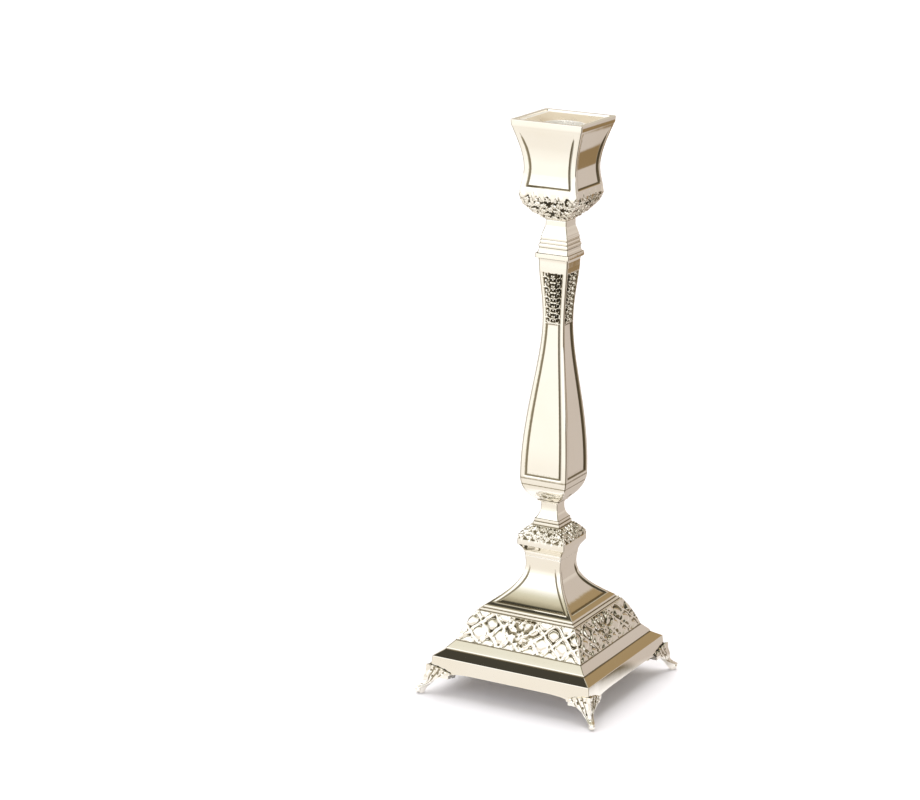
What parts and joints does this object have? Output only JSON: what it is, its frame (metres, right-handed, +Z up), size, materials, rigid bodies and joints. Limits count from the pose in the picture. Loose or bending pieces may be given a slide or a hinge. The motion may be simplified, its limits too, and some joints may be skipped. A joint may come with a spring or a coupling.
{
  "type": "candlestick",
  "caption": "Square baluster candlestick in silver plate: a flared cup with a lift-out candle socket, a panelled shaft, a knop and a stepped pyramid base on splayed leaf feet.",
  "frame": {"origin": "on the ground under the middle of the base", "axes": "+Z up the shaft towards the candle; -Y the front face, the feet on the diagonals of X and Y"},
  "size_m": [0.1004, 0.1004, 0.29],
  "materials": {
    "silver_plate": "polished silver plate, darkened in the relief",
    "silver_plate_socket": "polished silver plate",
    "silver_plate_feet": "cast silver plate, darkened in the relief",
    "steel_rod": "bright steel",
    "zinc_plated_steel": "zinc plated",
    "steel_plate": "plain steel",
    "spring_steel": "dark spring steel"
  },
  "bodies": {
    "candlestick": {"cup": "silver_plate", "neck": "silver_plate", "shaft": "silver_plate", "knop": "silver_plate", "base": "silver_plate", "foot_front_left": "silver_plate_feet", "foot_front_right": "silver_plate_feet", "foot_rear_right": "silver_plate_feet", "foot_rear_left": "silver_plate_feet", "foot_screws": "zinc_plated_steel", "foot_washers": "steel_plate", "tie_rod": "steel_rod", "cup_nut": "zinc_plated_steel", "cup_washer": "steel_plate", "clamp_plate": "steel_plate", "base_washer": "steel_plate", "spring_washer": "spring_steel", "base_nut": "zinc_plated_steel"},
    "lift_out_socket": {"candle_socket": "silver_plate_socket"}
  },
  "joints": [
    {"name": "socket_lift", "type": "slide", "parent": "candlestick", "child": "lift_out_socket", "axis": [0, 0, 1], "range_m": [0, 0.03]}
  ]
}
